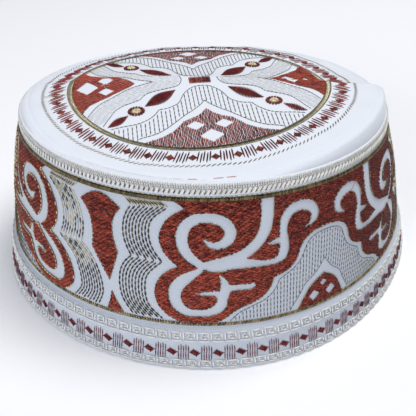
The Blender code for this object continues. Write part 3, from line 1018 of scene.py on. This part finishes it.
# The four sectors, each drawn with its axis up and mirrored: (across, outwards) of the brown
# field, of the border's inner and outer line, and of the bare diamonds with their half diagonals
Sector = namedtuple("Sector", "field inner outer diamonds pitch")
FRONT = Sector(
    [[(0, 27.5), (3, 31.7), (6, 34), (10.2, 36.3)],
     [(10.2, 36.3), (12.5, 39.7), (15.5, 43.3), (20.5, 46.7), (28, 49.6)],
     [(28, 49.6), (19, 53.1), (9.8, 55.5), (0, 56.4)], [(0, 56.4), (0, 27.5)]],
    [(0, 20.6), (2.3, 24.3), (5.5, 28), (10, 32.5), (14, 37), (18, 41), (22, 43.9), (29.5, 46.4)],
    [[(0, 7.2), (3, 7.6), (6, 10.3), (8, 13.3), (9.5, 17.2), (10.7, 20.6), (12.8, 23), (15.8, 24.8),
      (19.8, 25.4)],
     [(19.8, 25.4), (20.8, 27.8), (23, 31), (26.5, 34), (30.5, 35.4), (34.5, 36), (40.5, 37.4)]],
    [(0, 48.6, 4.9, 4.6), (5.9, 40.4, 3.8, 3.2), (-5.9, 40.4, 3.8, 3.2)], pitch=0.68)
SIDE = Sector(
    [[(0, 28.5), (3, 31), (6, 35), (10, 40), (13.7, 45), (17, 48.8), (23, 51.6)],
     [(23, 51.6), (16, 54.2), (8, 55.9), (0, 56.4)], [(0, 56.4), (0, 28.5)]],
    [(0, 20.8), (2.5, 27), (6, 33), (9.8, 37), (14, 42), (18.5, 46), (26.5, 49.7)],
    [[(0, 8), (3.3, 8.7), (6, 10.5), (7.7, 14.5), (8.6, 18.5), (10, 22.5), (12.2, 25.3), (15.6, 27.2)],
     [(15.6, 27.2), (17.5, 30.5), (19.5, 34.5), (23, 38), (27.3, 40), (35, 43.5)]],
    [(0, 49.7, 5.8, 4.8), (5, 41.5, 3.4, 3.4), (-5, 41.5, 3.4, 3.4)], pitch=0.6)
RING_INSIDE = 56.2
# Front, right, back and left sector: painted light added to its stitches' tone, and their half width
SECTOR_LOOKS = [(0.0, 0.3), (0.25, 0.3), (0.0, 0.3), (0.4, 0.24)]
ARM_TURN = math.radians(40.8)  # the arms lie nearer to the left and right than to the front
FLOWER = np.array([38.6, 0.0])  # a flower's middle on its arm
RING_CELLS = 45
FIRST_SPOT = -98.5  # degrees from the crown's axis to one of the ring's diamonds
HALF_CELL = 4.0
FRONT_STROKE = -98.0  # the strokes lean a little more round here
ZIGZAGS = 216


def sector_brown(sector):
    """Test for the brown of one sector, read along its axis so that its stitches run outwards."""
    field = outline(*[np.array(stretch, dtype=float) for stretch in sector.field])

    def brown(out, across):
        hit = inside(field, np.abs(across), out)
        for cx, cy, wide, tall in sector.diamonds:
            hit &= ~diamond(across, out, cx, cy, wide, tall)
        return hit
    return brown


def to_front(stitches):
    """A sector's right half and its mirror image, with the sector's axis towards the front."""
    return mirrored(stitches) * [1, -1]


def turned(stitches, quarter):
    """Stitches turned by quarter turns about the crown's middle."""
    c, s = [(1, 0), (0, 1), (-1, 0), (0, -1)][quarter]
    return stitches @ np.array([[c, s], [-s, c]], dtype=float)


def between(inner, outer, pitch, length, gap):
    """Lines along a sector's axis, from the border's outer line to its inner line or the ring."""
    rows = []
    for across in np.arange(0.5 * pitch, 40.0, pitch):
        low = np.interp(across, *outer.T) + 0.4
        high = math.sqrt(RING_INSIDE ** 2 - across ** 2)
        if across < inner[-1, 0]:
            high = min(high, np.interp(across, *inner.T) - 0.4)
        if high - low > 1.0:
            line = np.array([(across, low), (across, high)])
            rows.append(dashes(line, length, gap, dice.uniform(0, 0.5 * length)))
    return np.concatenate(rows)


def sectors():
    """Brown fields, grey border lines and, in the side sectors, the beige filling of the border, pale as a
    painted sheen.
    """
    fields, border, beige = [], [], []
    for sector, quarters in ((FRONT, (0, 2)), (SIDE, (1, 3))):
        rows = runs(sector_brown(sector), -28.0, 28.0, sector.pitch, left=26.0, right=57.0)
        field = tatami(rows, length=3.4, wander=0.1)[..., ::-1] * [1, -1]
        inner = smooth(sector.inner)
        outer = np.concatenate([smooth(sector.outer[0])[:-1], smooth(sector.outer[1])])
        lines = to_front(np.concatenate([dashes(line, length=1.7, gap=0.12) for line in (inner, outer)]))
        if sector is FRONT:
            waves = between(inner, outer, pitch=1.8, length=3.2, gap=0.12)
            lines = np.concatenate([lines, to_front(waves)])
        for quarter in quarters:
            lit, half_width = SECTOR_LOOKS[quarter]
            # Painted light: the side sectors' stitches get a lighter tone
            shade = dice.uniform(0.0, 0.8, len(field)) + lit
            fields.append(lay(turned(field, quarter), on_motif, Thread(half_width, 0.42), tone=shade))
            border.append(turned(lines, quarter))
            if sector is SIDE:
                # Painted sheen: the side sectors' filling is pale beige, for threads that run across the
                # light
                filling = between(inner, outer, pitch=0.8, length=2.6, gap=0.4)
                beige.append(turned(to_front(filling), quarter))
    sew("crown_brown_stitches", fields, BROWN)
    sew("crown_border_stitches", [lay(np.concatenate(border), on_motif, Thread(0.2, 0.3))], FINE_GOLD)
    sew("crown_beige_stitches", [lay(np.concatenate(beige), on_motif, Thread(0.2, 0.16))], BEIGE)


def leaf(middle, half_long, half_wide, count):
    """Satin leaf on an arm: slanted stitches whose reach is a lens, half_wide * cos."""
    way = np.linspace(-0.97, 0.97, count)
    reach = half_wide * np.cos(0.5 * np.pi * way)
    along = middle + half_long * way
    return straight(along - 0.35 * reach, -reach, along + 0.35 * reach, reach)


def on_arms(stitches):
    """Stitches drawn along the X axis, turned on to the four arms."""
    c, s = math.cos(ARM_TURN), math.sin(ARM_TURN)
    arm = stitches @ np.array([[c, s], [-s, c]])
    return np.concatenate([arm, arm * [-1, 1], arm * [1, -1], arm * [-1, -1]])


def rays(start, end):
    """Sixteen stitches round a flower's middle, from one distance to another."""
    turn = np.arange(16) * np.pi / 8
    direction = np.stack([np.cos(turn), np.sin(turn)], -1)
    return np.stack([FLOWER + start * direction, FLOWER + end * direction], 1)


def arms():
    """Leaves, and flowers of brown petals round a pale gold middle. A bar lies at the centre."""
    leaves = np.concatenate([on_arms(leaf(middle=24.4, half_long=9.0, half_wide=3.9, count=25)),
                             on_arms(leaf(middle=48.9, half_long=5.5, half_wide=2.4, count=15))])
    sew("crown_leaf_satins", [lay(leaves, on_motif, Thread(0.34, 0.6, 4, 5))], DARK_BROWN)
    sew("crown_flower_petals", [lay(on_arms(rays(2.2, 3.7)), on_motif, Thread(0.5, 0.8, 6, 4))], DARK_BROWN)
    sew("crown_flower_middles", [lay(on_arms(rays(0.3, 2.1)), on_motif, Thread(0.34, 0.9, 6, 4))],
        PALE_GOLD)
    across = np.arange(-4.5, 4.6, 0.6)
    bar = straight(across, -4.7, across, 1.3)
    sew("crown_centre_bar", [lay(bar, on_crown, Thread(0.24, 0.5, 4, 12))], BROWN)


def ring():
    """Ring of radial strokes with diamonds between them, and the slanted line outside it.

    In front and behind lie five fine dark strokes, at the left and right four bold ones made lighter by a
    painted sheen.
    They lean by 0.9 * cubed cosine of the angle, and a little more at the very front.
    """
    spots = evenly(RING_CELLS, FIRST_SPOT)
    beside = np.abs(np.cos(np.radians(spots + HALF_CELL))) > 0.66
    lots = []
    for chosen, count, step, thread in ((~beside, 5, 1.08, Thread(0.29, 0.2, 4, 5)),
                                        (beside, 4, 1.42, Thread(0.4, 0.22, 4, 5))):
        for stroke in range(count):
            at = spots[chosen] + HALF_CELL + (stroke - 0.5 * (count - 1)) * step
            ragged = 0.9 * (stroke % 2)
            side = np.cos(np.radians(at))
            lean = 0.9 * side ** 3 + 0.4 * np.maximum(0.0, np.cos(np.radians(at - FRONT_STROKE))) ** 12
            # Painted sheen: the strokes' tone is lighter at the left and right
            shade = 0.75 * side ** 2 + dice.uniform(0.0, 0.2, len(at))
            strokes = slanted(at, lean, 59.4 + ragged, -lean, 66.0 + ragged)
            lots.append(lay(strokes, crown_turn, thread, tone=shade))
    sew("crown_stroke_stitches", lots, STROKE_BROWN)
    stitches = diamonds(spots, wide=1.75, tall=1.9, middle=63.6, shear=0.0)
    # Painted shade and light: the diamonds' tone is darker in front and behind, lighter at the left and
    # right
    side = np.abs(np.cos(np.radians(stitches[:, 0, 0])))
    shade = (0.35 + 0.45 * side) * dice.uniform(0.0, 1.0, len(stitches))
    sew("crown_diamond_stitches", [lay(stitches, crown_turn, Thread(0.34, 0.55), tone=shade)], BROWN)
    # Painted glint: the line's foil is given a pale tone on the left, and a little on the right
    turn = evenly(ZIGZAGS)
    painted_glint = (0.1 + 0.5 * np.maximum(0.0, np.cos(np.radians(turn - 205.0)))
             + 0.3 * np.maximum(0.0, np.cos(np.radians(turn))) ** 4)
    zigzag = lay(slanted(turn, -0.8, 70.0, 0.8, 68.5), crown_turn, Thread(0.2, 0.24, 4, 4), lift=0.15,
                 tone=painted_glint)
    sew("crown_zigzag_stitches", [zigzag], RING_GOLD)


def loose_threads():
    """Red marking thread left on the margin and the wall, and threads that are pulled loose."""
    dashed = [[(-104.0, 77.4), (-101.2, 77.5)], [(-99.5, 77.5), (-96.8, 77.6)],
              [(-92.5, 77.6), (-89.6, 77.7)], [(-88.8, 77.7), (-86.0, 77.8)]]
    marks = np.array(dashed)
    marks = marks[:, :1] + (marks[:, 1:] - marks[:, :1]) * np.linspace(0, 1, 6)[None, :, None]
    end = chart([(71.9, 63.9), (71.2, 62.6), (70.4, 61.5), (69.8, 60.6), (69.3, 59.9)])[None]
    sew("red_thread_ends", [lay(marks, crown_turn, Thread(0.1, 0.2), lift=0.1),
                            lay(end, on_wall, Thread(0.12, 0.24), lift=0.5)], RED)
    pale = [[(-69.5, -2.2), (-66.8, -2.3), (-63.8, -2.7), (-60.8, -2.8), (-58.0, -3.5)],
            [(-43.4, 0.3), (-42.9, 1.2), (-42.3, 2.2), (-41.7, 2.9), (-41.0, 3.5)],
            [(-42.4, 0.8), (-42.2, 0.2), (-42.0, -0.6), (-41.8, -1.3), (-41.5, -2.0)]]
    sew("pulled_pale_threads", [lay([path], on_crown, Thread(0.16, 0.3), lift=0.3) for path in pale],
        PALE_GOLD)
    dark = [(-29.3, -50.6), (-29.6, -52.4), (-31.4, -54.4), (-33.2, -56.2), (-33.9, -59.3)]
    sew("pulled_gold_thread", [lay([dark], on_crown, Thread(0.13, 0.26), lift=0.25)], FINE_GOLD)


sectors()
arms()
ring()
loose_threads()

# Floor, light and camera

FLOOR_HALF = 3.0
VIEW_TILT = math.radians(30.717)  # the photo looks down by this much
VIEW_ROLL = math.radians(0.298)
VIEW_DISTANCE = 400.0
AIM = np.array([-2.718 - CENTRE_X, -CENTRE_Y, 14.279])


def stage_floor():
    """Plain pale floor, a flat square under the cap. It glows a little, like a lit paper sweep."""
    mesh = bpy.data.meshes.new("floor")
    corners = [(-1, -1), (1, -1), (1, 1), (-1, 1)]
    mesh.from_pydata([(FLOOR_HALF * x, FLOOR_HALF * y, 0) for x, y in corners], [], [(0, 1, 2, 3)])
    mesh.materials.append(new_material("pale_floor", Base_Color=linear("FBFBFC"), Roughness=0.9,
                                       Emission_Color=linear("FFFFFF"), Emission_Strength=0.06)[0])
    floor = bpy.data.objects.new("floor", mesh)
    bpy.context.collection.objects.link(floor)


def area_light(name, place, size, power, colour):
    """Soft square light that faces the cap."""
    lamp = bpy.data.lights.new(name, "AREA")
    lamp.shape = "SQUARE"
    lamp.size = size
    lamp.energy = power
    lamp.color = linear(colour)[:3]
    made = bpy.data.objects.new(name, lamp)
    made.location = place
    bpy.context.collection.objects.link(made)
    back = np.array(place) - (0.0, 0.0, 0.04)
    back /= np.linalg.norm(back)
    made.rotation_euler = (math.acos(back[2]), 0.0, math.atan2(back[0], -back[1]))


def studio():
    """Bright light from above and behind, a weak one from the left front, and a pale world."""
    area_light("sky_panel", (0.34, 0.2, 1.38), size=0.75, power=15.8, colour="FFFFFF")
    area_light("front_fill", (-0.7, -1.3, 0.62), size=0.6, power=9.2, colour="F8F9FF")
    area_light("left_window", (-1.35, 0.35, 0.6), size=0.6, power=0.7, colour="F6F9FF")
    world = bpy.data.worlds.new("pale_world")
    bpy.context.scene.world = world
    world.use_nodes = True
    ground = world.node_tree.nodes["Background"]
    ground.inputs["Color"].default_value = linear("D2E0FA")
    ground.inputs["Strength"].default_value = 0.17


def photo_camera():
    """Camera at the photo's angle: down by the view's tilt, and turned by its roll."""
    ahead = np.array([0.0, math.cos(VIEW_TILT), -math.sin(VIEW_TILT)])
    lens = bpy.data.cameras.new("photo_camera")
    lens.sensor_width = 36.0
    lens.lens = 70.94
    lens.clip_start = 0.01
    made = bpy.data.objects.new("photo_camera", lens)
    bpy.context.collection.objects.link(made)
    made.matrix_world = (Matrix.Translation((AIM - VIEW_DISTANCE * ahead) * MM)
                         @ Matrix.Rotation(0.5 * math.pi - VIEW_TILT, 4, "X")
                         @ Matrix.Rotation(VIEW_ROLL, 4, "Z"))
    bpy.context.scene.camera = made


stage_floor()
studio()
photo_camera()
bpy.context.scene.view_settings.view_transform = "Standard"
